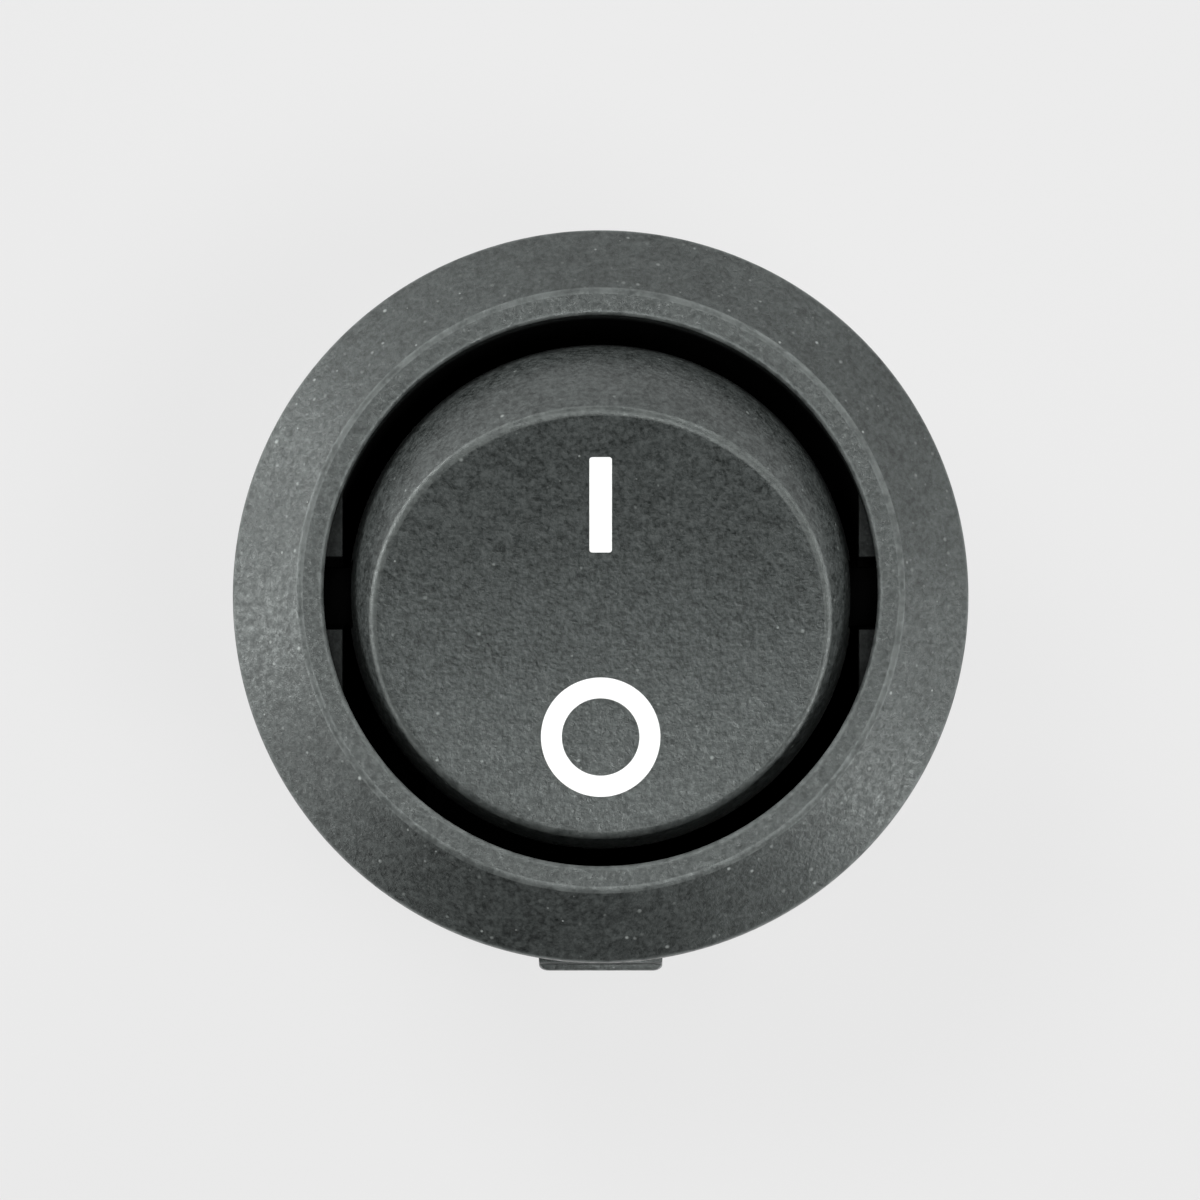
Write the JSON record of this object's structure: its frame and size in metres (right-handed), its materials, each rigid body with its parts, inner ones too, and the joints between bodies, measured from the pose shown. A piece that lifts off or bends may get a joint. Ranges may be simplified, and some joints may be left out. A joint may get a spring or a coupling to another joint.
{
  "type": "panel rocker switch",
  "caption": "Round snap-in panel rocker switch: dished black rocker with white on and off marks in a sloped bezel, barrel with snap arms and flat tab terminals.",
  "frame": {"origin": "centre of the seat under the bezel, where the front of the panel lies", "axes": "+Z out of the panel towards the user, +Y towards the I end of the rocker, X along the rocker's pivot"},
  "size_m": [0.023, 0.023, 0.0269],
  "materials": {
    "housing_nylon": "spark-eroded matt black-grey nylon",
    "rocker_nylon": "finely grained matt black-grey nylon",
    "mark_white": "smooth white",
    "spring_steel": "drawn spring wire",
    "plunger_brass": "turned",
    "blade_bronze": "rolled strip",
    "contact_silver": "silver, cold headed",
    "terminal_brass": "stamped brass with a dull tin plating"
  },
  "bodies": {
    "case": {"housing": "housing_nylon", "left_fixed_contact": "contact_silver", "right_fixed_contact": "contact_silver", "left_common_terminal": "terminal_brass", "right_common_terminal": "terminal_brass", "left_load_terminal": "terminal_brass", "right_load_terminal": "terminal_brass"},
    "rocker": {"rocker": "rocker_nylon", "on_mark": "mark_white", "off_mark": "mark_white", "left_spring": "spring_steel", "right_spring": "spring_steel"},
    "left_plunger": {"left_plunger": "plunger_brass"},
    "right_plunger": {"right_plunger": "plunger_brass"},
    "left_blade": {"left_blade": "blade_bronze", "left_moving_contact": "contact_silver"},
    "right_blade": {"right_blade": "blade_bronze", "right_moving_contact": "contact_silver"}
  },
  "joints": [
    {"name": "rocker_pivot", "type": "hinge", "parent": "case", "child": "rocker", "pos_m": [0, 0, 0], "axis": [1, 0, 0], "range_deg": [-36, 0]},
    {"name": "left_plunger_slide", "type": "slide", "parent": "rocker", "child": "left_plunger", "axis": [0, -0.309, 0.9511], "range_m": [0, 0.0006], "stiffness_N_per_m": 300, "springref_m": -0.002, "deforming": ["left_spring"]},
    {"name": "right_plunger_slide", "type": "slide", "parent": "rocker", "child": "right_plunger", "axis": [0, -0.309, 0.9511], "range_m": [0, 0.0006], "stiffness_N_per_m": 300, "springref_m": -0.002, "deforming": ["right_spring"]},
    {"name": "left_blade_rock", "type": "hinge", "parent": "case", "child": "left_blade", "pos_m": [-0.0037, 0, -0.00578], "axis": [1, 0, 0], "range_deg": [0, 18]},
    {"name": "right_blade_rock", "type": "hinge", "parent": "case", "child": "right_blade", "pos_m": [0.0037, 0, -0.00578], "axis": [1, 0, 0], "range_deg": [0, 18]}
  ],
  "couplings": [
    {"joint": "left_blade_rock", "follows": "rocker_pivot", "ratio": -0.5},
    {"joint": "right_blade_rock", "follows": "rocker_pivot", "ratio": -0.5}
  ]
}
